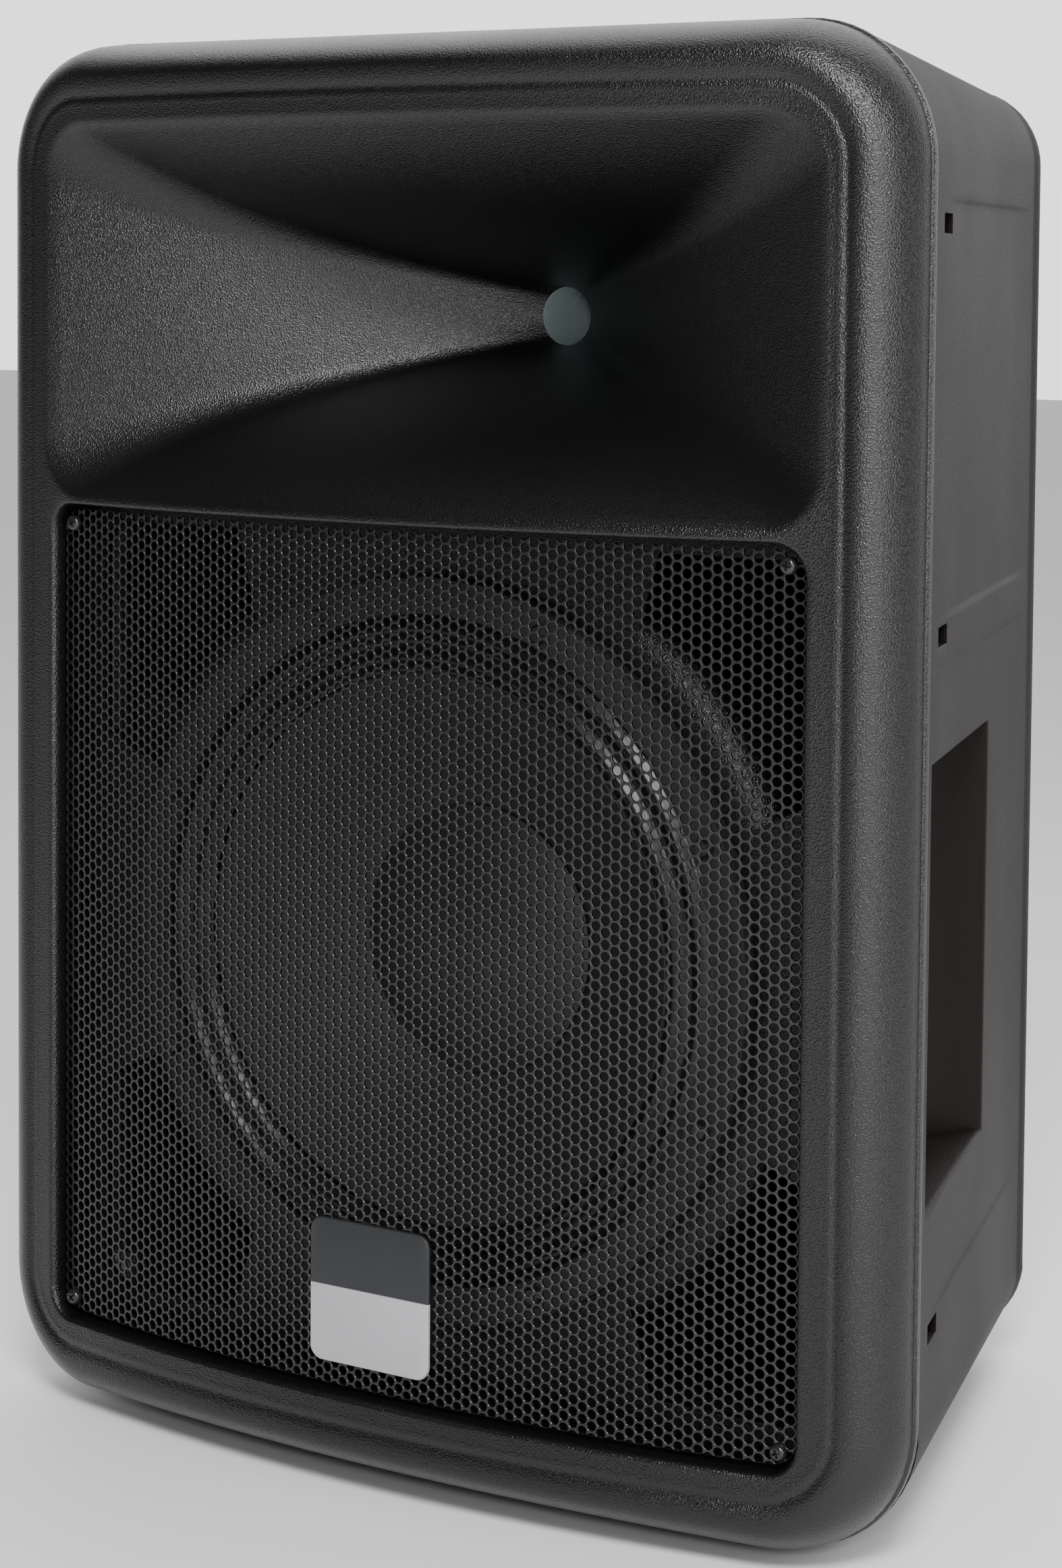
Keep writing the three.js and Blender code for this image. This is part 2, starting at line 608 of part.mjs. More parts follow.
// ---------------------------------------------------------------- horn driver
function addHornDriver() {
  const front = HORN.throatY + GAP;
  const z = HORN.throatZ;
  addPiece('horn_driver_adapter', latheY(closeRing([[12.5, front], [34, front],
    [34, front + 5], [24, front + 9], [24, front + 22], [12.5, front + 22]]), 0, z, 28),
  CAST_ZINC);
  const magnetFront = front + 22 + GAP;
  addPiece('horn_driver_magnet', ringY(52, 12.5, magnetFront, magnetFront + 26, 0, z, 28), FERRITE);
  const coverFront = magnetFront + 26 + GAP;
  addPiece('horn_driver_cover', latheY([[48, coverFront], [48, coverFront + 12],
    [36, coverFront + 18], [0, coverFront + 18], [0, coverFront + 15], [34, coverFront + 15],
    [44, coverFront + 10], [44, coverFront], [48, coverFront]], 0, z, 28), DARK_MOULDED);
  const dome = [[0, coverFront + 3], [8, coverFront + 3.8], [16, coverFront + 6.5],
    [22, coverFront + 6.5], [22, coverFront + 6.9], [15.8, coverFront + 6.9],
    [7.8, coverFront + 4.3], [0, coverFront + 3.5]];
  addPiece('horn_diaphragm', latheY(dome, 0, z, 20), BRIGHT_STEEL);
}

// ---------------------------------------------------------------- crossover and input panel
const BOARD = { y: 329, halfWidth: 62, z0: 92, z1: 172 };

function boardSpots() {
  const x = BOARD.halfWidth - 8;
  return [[-x, BOARD.z0 + 8], [x, BOARD.z0 + 8], [-x, BOARD.z1 - 8], [x, BOARD.z1 - 8]];
}

function panelScrewSpots() {
  const x = PANEL.width / 2 - 6;
  const z = PANEL.height / 2 - 6;
  return [[-x, PANEL.z + z], [x, PANEL.z + z], [-x, PANEL.z - z], [x, PANEL.z - z]];
}

function addCrossover() {
  addPiece('crossover_board', box(-BOARD.halfWidth, BOARD.halfWidth, BOARD.y, BOARD.y + 1.6,
    BOARD.z0, BOARD.z1), { color: 0x2d5a34, roughness: 0.6, metalness: 0 });
  const copper = { color: 0xb06a34, roughness: 0.35, metalness: 0.9 };
  addPiece('crossover_coil_1', ringY(20, 9, BOARD.y - GAP - 18, BOARD.y - GAP, -34, 146, 20),
    copper);
  addPiece('crossover_coil_2', ringY(15, 7, BOARD.y - GAP - 14, BOARD.y - GAP, 8, 148, 16),
    copper);
  const can = new THREE.CylinderGeometry(9, 9, 44, 24).rotateZ(Math.PI / 2);
  addPiece('crossover_capacitor', can.translate(-24, BOARD.y - GAP - 9, 108), {
    color: 0x2b3b6a, roughness: 0.4, metalness: 0,
  });
  addPiece('crossover_resistor', box(24, 48, BOARD.y - GAP - 9, BOARD.y - GAP, 104, 113), {
    color: 0xd8d4c8, roughness: 0.8, metalness: 0,
  });
}

const JACK = { spacing: 44, bore: 3.25, body: 9, nut: 7.5 };

function jack(x) {
  const face = CABINET.rearY;
  const hole = JACK.bore;
  return latheY(closeRing([[hole, face + 3], [JACK.nut, face + 3], [JACK.nut, face + GAP],
    [5, face + GAP], [5, face - PANEL.thickness - GAP], [JACK.body, face - PANEL.thickness - GAP],
    [JACK.body, face - 24], [hole, face - 24]]), x, PANEL.z, 16);
}

function addInputPanel() {
  const plate = toSolid(extrudeY(roundedRect(-PANEL.width / 2, PANEL.width / 2,
    PANEL.z - PANEL.height / 2, PANEL.z + PANEL.height / 2, 4),
  CABINET.rearY - PANEL.thickness, CABINET.rearY, 3));
  const holes = [-1, 1].map((side) => toSolid(discY(5 + GAP, CABINET.rearY - 9,
    CABINET.rearY + 5, (side * JACK.spacing) / 2, PANEL.z, 24)));
  holes.push(...panelScrewSpots().map(([x, z]) => toSolid(discY(1.6 + GAP, CABINET.rearY - 9,
    CABINET.rearY + 5, x, z, 8))));
  addPiece('input_panel', toGeometry(cut(plate, ...holes)), BLACK_STEEL);
  [-1, 1].forEach((side, i) => {
    addPiece(`input_jack_${i + 1}`, jack((side * JACK.spacing) / 2), BLACK_STEEL);
  });
  panelScrewSpots().forEach(([x, z], i) => {
    const seat = CABINET.rearY + GAP;
    const screw = screwAlongY(3.2, 2, 1.6, 0, 6.4, 0, 0);
    screw.rotateZ(Math.PI);
    addPiece(`panel_screw_${i + 1}`, screw.translate(x, seat, z), BLACK_STEEL);
  });
}

// ---------------------------------------------------------------- pole socket, feet, shell screws
function addBase() {
  const cup = new THREE.LatheGeometry([[0, POLE.depth + 3.5], [0, POLE.depth],
    [POLE.bore, POLE.depth], [POLE.bore, 0], [POLE.flange, 0], [POLE.flange, 2.6],
    [POLE.bore + 3.5, 2.6], [POLE.bore + 3.5, POLE.depth + 3.5], [0, POLE.depth + 3.5]]
    .map(([r, h]) => new THREE.Vector2(r, h)), 32);
  cup.rotateX(Math.PI / 2).translate(0, POLE.y, -2.9);
  addPiece('pole_socket', cup, BLACK_MOULDED);
  footSpots().forEach(([x, y], i) => {
    const foot = new THREE.LatheGeometry([[0, -FEET.height], [FEET.radius - 1.5, -FEET.height],
      [FEET.radius, 1.5 - FEET.height], [FEET.radius, 0], [0, 0]]
      .map(([r, h]) => new THREE.Vector2(r, h)), 20);
    addPiece(`foot_${i + 1}`, foot.rotateX(Math.PI / 2).translate(x, y, 0), RUBBER);
  });
  shellScrewSpots().forEach(([x, z], i) => {
    const screw = screwAlongY(SHELL_SCREW.head, 2.6, SHELL_SCREW.shank, 0,
      POCKET.front + GAP - SHELL_SCREW.tip, 0, 0);
    screw.rotateZ(Math.PI);
    addPiece(`shell_screw_${i + 1}`, screw.translate(x, POCKET.front + GAP, z), BLACK_STEEL);
  });
}

addPiece('front_shell', toGeometry(frontShell()), BLACK_MOULDED);
addPiece('rear_shell', toGeometry(rearShell()), DARK_MOULDED);
addFrontTrim();
addWoofer();
addHornDriver();
addCrossover();
addInputPanel();
addBase();

// The origin is the centre of the bounding box's bottom face.
const bounds = new THREE.Box3().setFromObject(group);
for (const piece of group.children) {
  piece.position.set(0, -(bounds.min.y + bounds.max.y) / 2, -bounds.min.z);
}

export default group;
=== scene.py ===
"""Twelve-inch two-way moulded PA speaker cabinet: fine surfaces, finishes, light and camera."""

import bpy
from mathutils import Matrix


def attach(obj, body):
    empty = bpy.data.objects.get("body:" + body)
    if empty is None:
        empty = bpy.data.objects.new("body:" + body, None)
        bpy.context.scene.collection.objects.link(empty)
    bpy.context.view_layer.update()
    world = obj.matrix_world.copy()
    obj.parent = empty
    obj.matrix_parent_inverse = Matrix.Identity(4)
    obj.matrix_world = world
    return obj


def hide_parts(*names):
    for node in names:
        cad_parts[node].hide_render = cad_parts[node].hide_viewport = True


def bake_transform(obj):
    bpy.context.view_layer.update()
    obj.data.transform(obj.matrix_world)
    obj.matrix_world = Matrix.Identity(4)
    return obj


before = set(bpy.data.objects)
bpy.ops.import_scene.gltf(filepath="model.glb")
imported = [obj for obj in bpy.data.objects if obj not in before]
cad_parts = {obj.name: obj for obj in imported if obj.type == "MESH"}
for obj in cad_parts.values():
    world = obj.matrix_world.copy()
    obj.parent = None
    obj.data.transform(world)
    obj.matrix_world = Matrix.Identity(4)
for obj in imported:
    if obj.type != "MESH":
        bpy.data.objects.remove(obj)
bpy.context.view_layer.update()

import math
import bmesh
import bpy
import numpy as np
from mathutils import Matrix, Vector
from mathutils.geometry import delaunay_2d_cdt

# ---------------------------------------------------------------- driving dimensions, mm
# Drawn with y = 0 on the apex of the grille and z = 0 under the front rim, then moved by SHIFT
# into the row frame.
SHIFT = Vector((0.0, -167.75, 5.0))

HALF_WIDTH, HEIGHT, CORNER = 228.5, 597.5, 56.0
NARROWING = 0.004
SEAM_Y, REAR_Y = 48.0, 341.0
BOW_RADIUS = 830.0
FACE_PROUD = 7.0
RIM_CREST, RIM_PROUD, RIM_BEAD = 17.0, 8.5, 4.0
FACE_WIDENING, FACE_BLEND = 2.0, 7.0    # the flat face is wider than the rim's inner offset
FACE_EDGE = ((19.5, -8.38), (21.5, -8.05), (23.0, -7.55), (24.2, -7.12), (25.0, -6.98),
             (25.7, -7.05), (26.6, -7.3), (27.6, -7.38), (28.8, -7.22), (30.0, -FACE_PROUD))
RECESS_HALF_WIDTH, RECESS_LOW, RECESS_HIGH, RECESS_CORNER = 190.0, 36.5, 396.5, 12.0
RECESS_LIP = ((4.0, 0.0), (2.9, 0.15), (1.8, 0.6), (0.9, 1.5), (0.3, 3.0), (0.0, 5.0))
RECESS_LIP_LOW, RECESS_LIP_HIGH = 0.55, 0.35    # how much of its growth the lip has below and above
BAFFLE_Y = 42.0
HORN_CENTRE_Z, HORN_THROAT_Z, HORN_THROAT_Y = 481.2, 480.0, 134.5
HORN_HALF_WIDTH, HORN_HALF_HEIGHT, HORN_CORNER, HORN_THROAT_RADIUS = 197.0, 81.0, 24.0, 12.5
HORN_LIP = ((4.0, 0.0), (3.0, 0.1), (1.9, 0.32), (0.9, 0.64))
HORN_ACROSS, HORN_UPRIGHT = (0.8, 0.2), (0.62, 0.38)    # straight and curved share of the flare
PORT_FLARE = ((15.0, 0.0), (11.5, 0.5), (8.0, 1.8), (5.0, 4.0), (2.5, 7.5), (0.8, 12.0),
              (0.0, 18.0))
PORT_RIGHT, PORT_HIGH, PORT_RADIUS, PORT_CORNER = 178.0, 166.0, 176.0, 14.0
PORT_NEAR_X, PORT_NEAR_Z = 96.0, 62.0
WOOFER_Z, WOOFER_CUTOUT = 217.0, 142.0
SURROUND_OUTER, SURROUND_INNER, SURROUND_Y, SURROUND_SHEET = 140.0, 116.6, 35.2, 0.7
SURROUND_ROLL, SURROUND_ROLLS, SURROUND_SECTORS = 1.8, 2.0, 24
GRILLE_HALF_WIDTH, GRILLE_LOW, GRILLE_HIGH, GRILLE_THICKNESS = 188.0, 39.0, 394.2, 1.2
GRILLE_CORNER = 10.0
HOLE_PITCH, HOLE_RADIUS, HOLE_BEVEL, HOLE_STEPS = 4.7625, 1.98, 0.12, 18
SCREW_X, SCREW_LOW, SCREW_HIGH = 181.5, 44.0, 388.0
HEAD_RADIUS, HEAD_HEIGHT, HEAD_SINK, HEAD_CLEAR = 3.6, 2.6, 0.3, 3.0
BADGE_X, BADGE_Z, BADGE_WIDTH, BADGE_HEIGHT, BADGE_CORNER = -1.7, 78.6, 60.6, 60.0, 6.0
BADGE_BACK, BADGE_FRONT = -0.3, -1.9
REAR_HALF_WIDTH, REAR_TOP, REAR_LOW, REAR_CORNER, REAR_EDGE = 130.5, 583.0, 10.0, 35.0, 24.0
HANDLE_LOW, HANDLE_HIGH, HANDLE_FRONT, HANDLE_REAR, HANDLE_DEEP_X = 135.0, 309.5, 60.0, 205.0, 156.0
POCKET_HEIGHTS = (519.0, 359.0, 85.0)
POCKET_FLOOR_X, POCKET_HALF_HEIGHT, POCKET_FRONT, POCKET_BACK = 206.0, 3.6, 68.0, 88.4
POCKET_LINES = (4.6, 3.9, 3.5, 3.2, 0.0)    # grid lines above and below a pocket's middle
POCKET_LOOPS = (62.5, 65, 67.3, 68.0, 68.3, 71, 74, 79, 83, 87.6, 88.0, 88.8)
HANDLE_FILLET = 14.0
HANDLE_CURVE = ((HANDLE_DEEP_X, HANDLE_FRONT + HANDLE_FILLET), (HANDLE_DEEP_X, 130.0),
                (148.0, 179.0), (170.0, HANDLE_REAR))
EDGE_AT = (-3.5, -2.6, -1.8, -1.2, -0.7, -0.3, 0.0, 0.3, 0.6)    # places across a rounded edge
EDGE_DEPTH = (0.0, 0.12, 0.35, 0.7, 1.2, 1.9, 3.2, 25.0, 90.0)    # and how deep it is at each
GRID_LOW, GRID_HIGH, GRID_GAP = 60.0, 538.0, 0.12
SIDE_PANELS = ((92.0, 347.0), (366.0, 528.0))
PANEL_FRONT, PANEL_BACK, PANEL_FADE, PANEL_DEPTH = 70.0, 310.0, 45.0, 0.8
PANEL_WIDTH, PANEL_HEIGHT, PANEL_Z, PANEL_GAP = 130.0, 90.0, 250.0, 0.3
POLE_Y = 165.0
BOSSES = ((-90.0, 90.0, 18.0), (90.0, 90.0, 18.0), (-90.0, 262.0, 18.0), (90.0, 262.0, 18.0),
          (0.0, POLE_Y, 36.0))
POLE_HOLE_RADIUS, UNDERSIDE_Z = 26.0, 12.0

CONE_PROFILE = ((116.5, 38.6), (115.2, 37.9), (112.5, 39.2), (100, 46.4), (86, 54.6), (72, 63.2),
                (58, 71.6), (45, 78.6), (33.4, 84.3), (33.4, 85.2), (58, 73.0), (86, 56.0),
                (112.5, 41.0), (116.5, 39.6), (116.5, 38.6))
CAP_RADIUS, CAP_EDGE_Y, CAP_RISE, CAP_SHEET = 57.0, 70.6, 14.2, 0.9

# ---------------------------------------------------------------- light, camera and finish
LIGHTS = (    # name, place and target in m, width and height in m, power in W
    ("key_light", (1.25, -1.75, 1.95), (0.0, -0.1, 0.36), 0.7, 0.7, 92),
    ("rim_strip", (1.75, -1.0, 0.75), (0.15, -0.1, 0.32), 0.3, 1.4, 17),
    ("throat_fill", (0.98, -1.55, 0.72), (0.0, 0.0, 0.47), 0.2, 0.2, 8),
    ("top_light", (-0.3, 0.5, 2.6), (0.0, 0.1, 0.0), 2.2, 1.6, 20))
WORLD_FROM, WORLD_TO = 0.15, 0.6    # the world brightens between these, from front to back
WORLD_DIM, WORLD_BRIGHT = 0.08, 2.0
CAMERA_AZIMUTH, CAMERA_ELEVATION, CAMERA_ROLL = 35.738, 3.484, 0.381    # degrees
CAMERA_PLACE = (908.3, -1200.6, 500.2)    # mm, on the drawing
CAMERA_LENS, CAMERA_SENSOR, CAMERA_SHIFT_X, CAMERA_SHIFT_Y = 85.49, 36, 0.0405, -0.1840

SMOOTH_ANGLE, REAR_SMOOTH_ANGLE = math.radians(32), math.radians(40)
WELD_DISTANCE = 1e-6
GLOSS_SPREAD, GRAIN_SCALE, GRAIN_WARP = 0.03, 1500.0, 0.0005


def bow(x):
    return BOW_RADIUS - np.sqrt(BOW_RADIUS ** 2 - np.square(x))


def face_y(x):
    return bow(x) - FACE_PROUD


# ---------------------------------------------------------------- mesh helpers
def make_object(name, verts, faces, material, smooth=SMOOTH_ANGLE):
    """A mesh object from points in millimetres, moved into the row frame in metres."""
    mesh = bpy.data.meshes.new(name)
    points = (np.asarray(verts, float) + np.array(SHIFT)) * 0.001
    mesh.from_pydata(points.tolist(), [], [list(map(int, f)) for f in faces])
    mesh.validate()
    obj = bpy.data.objects.new(name, mesh)
    bpy.context.scene.collection.objects.link(obj)
    weld(mesh)
    mesh.shade_smooth()
    mesh.set_sharp_from_angle(angle=smooth)
    mesh.materials.append(material)
    return obj


def weld(mesh):
    """Joins coincident points and turns every face outwards."""
    work = bmesh.new()
    work.from_mesh(mesh)
    bmesh.ops.remove_doubles(work, verts=work.verts, dist=WELD_DISTANCE)
    bmesh.ops.recalc_face_normals(work, faces=work.faces)
    work.to_mesh(mesh)
    work.free()


class Surface:
    """Collects loops and filled regions into one mesh."""

    def __init__(self):
        self.verts = []
        self.faces = []

    def add_points(self, points):
        start = len(self.verts)
        self.verts.extend(np.asarray(points, float).tolist())
        return start

    def loft(self, loops, closed=True):
        """Joins equal-length loops of points with quads."""
        count = len(loops[0])
        starts = [self.add_points(loop) for loop in loops]
        steps = count if closed else count - 1
        for a, b in zip(starts[:-1], starts[1:]):
            for i in range(steps):
                j = (i + 1) % count
                self.faces.append((a + i, a + j, b + j, b + i))

    def fill(self, outlines, depth_of):
        """Fills the region between an outer outline and its holes, at y = depth_of(x)."""
        points = [Vector(p) for line in outlines for p in line]
        edges = []
        start = 0
        for line in outlines:
            edges += [(start + i, start + (i + 1) % len(line)) for i in range(len(line))]
            start += len(line)
        found = delaunay_2d_cdt(points, edges, [], 0, 1e-4)
        flat, triangles = found[0], found[2]
        base = self.add_points([(p.x, float(depth_of(p.x)), p.y) for p in flat])
        for tri in triangles:
            middle = sum((flat[i] for i in tri), Vector((0.0, 0.0))) / len(tri)
            if inside_region(middle, outlines):
                self.faces.append([base + i for i in tri])

    def object(self, name, material, smooth=SMOOTH_ANGLE):
        return make_object(name, self.verts, self.faces, material, smooth)


def inside(point, line):
    """Even-odd test of a 2-D point against a closed outline."""
    line = np.asarray(line, float)
    nxt = np.roll(line, -1, axis=0)
    crosses = (line[:, 1] > point[1]) != (nxt[:, 1] > point[1])
    with np.errstate(divide="ignore", invalid="ignore"):
        at = (nxt[:, 0] - line[:, 0]) * (point[1] - line[:, 1]) / (nxt[:, 1] - line[:, 1])
    return int(np.count_nonzero(crosses & (point[0] < at + line[:, 0]))) % 2 == 1


def inside_region(point, outlines):
    return inside(point, outlines[0]) and not any(inside(point, o) for o in outlines[1:])


def rounded_outline(half_width, low, high, radius, corner_steps=14, edge_steps=34, side_steps=12):
    """A rounded rectangle's points, anticlockwise from the right end of the lower edge."""
    radius = max(radius, 0.01)
    middle = (low + high) / 2
    rx, rz = half_width - radius, (high - low) / 2 - radius
    points = []
    corners = ((1, 1), (-1, 1), (-1, -1), (1, -1))
    for turn, (sx, sz) in enumerate(corners):
        for i in range(corner_steps + 1):
            angle = math.pi / 2 * (turn + i / corner_steps)
            points.append((sx * rx + radius * math.cos(angle),
                           middle + sz * rz + radius * math.sin(angle)))
        start = np.array(points[-1])
        next_angle = math.pi / 2 * (turn + 1)
        nx, nz = corners[(turn + 1) % 4]
        end = np.array((nx * rx + radius * math.cos(next_angle),
                        middle + nz * rz + radius * math.sin(next_angle)))
        steps = edge_steps if turn % 2 == 0 else side_steps
        points += [tuple(start + (end - start) * i / steps) for i in range(1, steps)]
    return np.array(points)


def at_depth(line, depth_of):
    """Lifts a 2-D outline to y = depth_of(x)."""
    line = np.asarray(line, float)
    return np.column_stack([line[:, 0], depth_of(line[:, 0]), line[:, 1]])


def level(y):
    """A depth rule: the same depth at every x."""
    return lambda x: np.full_like(x, y)


def behind(depth_of, distance):
    """A depth rule: a fixed distance behind another one."""
    return lambda x: depth_of(x) + distance


def circle(radius, centre_x, centre_z, steps):
    angle = np.linspace(0, 2 * math.pi, steps, endpoint=False)
    return np.column_stack([centre_x + radius * np.cos(angle), centre_z + radius * np.sin(angle)])


def lathe(profile, centre_z, steps=128, centre_x=0.0):
    """The loops of a surface turned about an axis along Y, from (radius, y) points."""
    angle = np.linspace(0, 2 * math.pi, steps, endpoint=False)
    loops = []
    for radius, y in profile:
        radius = max(radius, 1e-4)
        loops.append(np.column_stack([centre_x + radius * np.cos(angle), np.full(steps, y),
                                      centre_z + radius * np.sin(angle)]))
    return loops


# ---------------------------------------------------------------- materials
def new_material(name):
    material = bpy.data.materials.new(name)
    material.use_nodes = True
    tree = material.node_tree
    shader = tree.nodes["Principled BSDF"]
    return material, tree, shader


def object_noise(tree, scale, detail):
    coordinates = tree.nodes.new("ShaderNodeTexCoord")
    noise = tree.nodes.new("ShaderNodeTexNoise")
    noise.inputs["Scale"].default_value = scale
    noise.inputs["Detail"].default_value = detail
    tree.links.new(coordinates.outputs["Object"], noise.inputs["Vector"])
    return noise


def map_range(tree, source, low, high, to_low, to_high):
    node = tree.nodes.new("ShaderNodeMapRange")
    node.inputs["From Min"].default_value = low
    node.inputs["From Max"].default_value = high
    node.inputs["To Min"].default_value = to_low
    node.inputs["To Max"].default_value = to_high
    tree.links.new(source, node.inputs["Value"])
    return node.outputs["Result"]


def add_bump(tree, shader, height, strength, distance):
    bump = tree.nodes.new("ShaderNodeBump")
    bump.inputs["Strength"].default_value = strength
    bump.inputs["Distance"].default_value = distance
    tree.links.new(height, bump.inputs["Height"])
    tree.links.new(bump.outputs["Normal"], shader.inputs["Normal"])


def grained_plastic(name, colour, depth, roughness, specular):
    """Moulded plastic with a leather-like pebble grain, depth metres deep."""
    material, tree, shader = new_material(name)
    shader.inputs["Base Color"].default_value = (*colour, 1)
    shader.inputs["Specular IOR Level"].default_value = specular
    pebbles = tree.nodes.new("ShaderNodeTexVoronoi")
    pebbles.feature = "SMOOTH_F1"
    pebbles.inputs["Scale"].default_value = GRAIN_SCALE
    pebbles.inputs["Smoothness"].default_value = 0.6
    coordinates = tree.nodes.new("ShaderNodeTexCoord")
    warp = object_noise(tree, GRAIN_SCALE * 0.8, 1.0)
    mix = tree.nodes.new("ShaderNodeVectorMath")
    mix.operation = "MULTIPLY_ADD"
    mix.inputs[1].default_value = (GRAIN_WARP,) * 3
    tree.links.new(warp.outputs["Color"], mix.inputs[0])
    tree.links.new(coordinates.outputs["Object"], mix.inputs[2])
    tree.links.new(mix.outputs["Vector"], pebbles.inputs["Vector"])
    add_bump(tree, shader, pebbles.outputs["Distance"], 1.0, depth)
    patches = object_noise(tree, 9.0, 3.0)
    spread = map_range(tree, patches.outputs["Fac"], 0.3, 0.7, roughness - GLOSS_SPREAD,
                       roughness + GLOSS_SPREAD)
    tree.links.new(spread, shader.inputs["Roughness"])
    return material


def plain(name, colour, roughness, metallic=0.0, grain=0.0, scale=900.0):
    """A finish of one colour, with a fine grain where grain, its depth in metres, isn't 0."""
    material, tree, shader = new_material(name)
    shader.inputs["Base Color"].default_value = (*colour, 1)
    shader.inputs["Roughness"].default_value = roughness
    shader.inputs["Metallic"].default_value = metallic
    if grain:
        noise = object_noise(tree, scale, 2.0)
        add_bump(tree, shader, noise.outputs["Fac"], 0.6, grain)
    return material


def badge_material():
    """A satin plate printed in two tones, dark above and light below a slanting line."""
    material, tree, shader = new_material("badge_print")
    coordinates = tree.nodes.new("ShaderNodeTexCoord")
    split = tree.nodes.new("ShaderNodeSeparateXYZ")
    tree.links.new(coordinates.outputs["Object"], split.inputs["Vector"])
    divide = (BADGE_Z + SHIFT.z + 2.0) * 0.001
    mask = map_range(tree, split.outputs["Z"], divide - 0.0002, divide + 0.0002, 0.0, 1.0)
    mix = tree.nodes.new("ShaderNodeMix")
    mix.data_type = "RGBA"
    mix.inputs[6].default_value = (0.42, 0.42, 0.44, 1)
    mix.inputs[7].default_value = (0.026, 0.027, 0.029, 1)
    tree.links.new(mask, mix.inputs[0])
    tree.links.new(mix.outputs[2], shader.inputs["Base Color"])
    shader.inputs["Roughness"].default_value = 0.42
    shader.inputs["Metallic"].default_value = 0.35
    noise = object_noise(tree, 1500.0, 1.0)
    add_bump(tree, shader, noise.outputs["Fac"], 0.25, 0.0001)
    return material


# ---------------------------------------------------------------- front shell
def narrowed(line):
    line = np.array(line, float)
    line[:, 0] *= 1 - NARROWING * (1 - line[:, 1] / HEIGHT)
    return line


def cabinet_outline(inset):
    return narrowed(rounded_outline(HALF_WIDTH - inset, inset, HEIGHT - inset, CORNER - inset))


def rim_loops():
    """The rim's band, from the seam, over the crest, to the bead round the face."""
    bead_y = SEAM_Y - RIM_BEAD
    seam = ((4.0, SEAM_Y), (1.2, SEAM_Y), (0.35, SEAM_Y - 0.5), (0.0, SEAM_Y - 1.4),
            (0.0, bead_y + 0.6), (0.5, bead_y), (0.9, bead_y - 0.3))
    loops = [at_depth(cabinet_outline(inset), level(y)) for inset, y in seam]
    for angle in np.linspace(12, 90, 18):
        turn = math.radians(angle)
        share = 1 - math.sin(turn)
        inset = 0.5 + (RIM_CREST - 0.5) * (1 - math.cos(turn))
        line = cabinet_outline(inset)
        crest = bow(line[:, 0]) - RIM_PROUD + (bead_y - bow(line[:, 0]) + RIM_PROUD) * share
        loops.append(np.column_stack([line[:, 0], crest, line[:, 1]]))
    for inset, depth in FACE_EDGE:
        line = rounded_outline(HALF_WIDTH + FACE_WIDENING - inset, inset, HEIGHT - inset,
                               CORNER - inset)
        keep = min(1.0, max(0.0, (inset - RIM_CREST) / FACE_BLEND))
        blended = cabinet_outline(inset) * (1 - keep) + line * keep
        loops.append(at_depth(blended, behind(bow, depth)))
    return loops


def horn_section(t, mouth, throat):
    """One section of the flare: t = 0 at the throat, 1 at the mouth."""
    across = HORN_ACROSS[0] * t + HORN_ACROSS[1] * t ** 3
    upright = HORN_UPRIGHT[0] * t + HORN_UPRIGHT[1] * t ** 4
    depth = HORN_THROAT_Y + (face_y(mouth[:, 0]) + 1.0 - HORN_THROAT_Y) * t
    x = throat[:, 0] + (mouth[:, 0] - throat[:, 0]) * across
    z = throat[:, 1] + (mouth[:, 1] - throat[:, 1]) * upright
    return np.column_stack([x, depth, z])


def horn_loops():
    """The horn, from its rounded lip to the round throat."""
    half_width, half_height = HORN_HALF_WIDTH - 2.0, HORN_HALF_HEIGHT - 1.6
    mouth = rounded_outline(half_width, HORN_CENTRE_Z - half_height, HORN_CENTRE_Z + half_height,
                            HORN_CORNER)
    angle = np.arctan2((mouth[:, 1] - HORN_CENTRE_Z) * half_width / half_height, mouth[:, 0])
    throat = np.column_stack([HORN_THROAT_RADIUS * np.cos(angle),
                              HORN_THROAT_Z + HORN_THROAT_RADIUS * np.sin(angle)])
    lip = []
    for grow, depth in HORN_LIP:
        line = rounded_outline(half_width + grow, HORN_CENTRE_Z - half_height - grow * 0.8,
                               HORN_CENTRE_Z + half_height + grow * 0.8, HORN_CORNER + grow)
        lip.append(at_depth(line, behind(face_y, depth)))
    stations = np.concatenate([np.linspace(1, 0.8, 9), np.linspace(0.77, 0, 26)])
    return lip + [horn_section(t, mouth, throat) for t in stations]


def recess_loops():
    """The grille's recess: a rounded lip, drafted walls, and the baffle's edge."""
    loops = []
    for grow, depth in RECESS_LIP:
        line = rounded_outline(RECESS_HALF_WIDTH + grow, RECESS_LOW - grow * RECESS_LIP_LOW,
                               RECESS_HIGH + grow * RECESS_LIP_HIGH, RECESS_CORNER + grow)
        loops.append(at_depth(line, behind(face_y, depth)))
    line = rounded_outline(RECESS_HALF_WIDTH, RECESS_LOW, RECESS_HIGH, RECESS_CORNER)
    loops.append(at_depth(line, level(BAFFLE_Y)))
    return loops


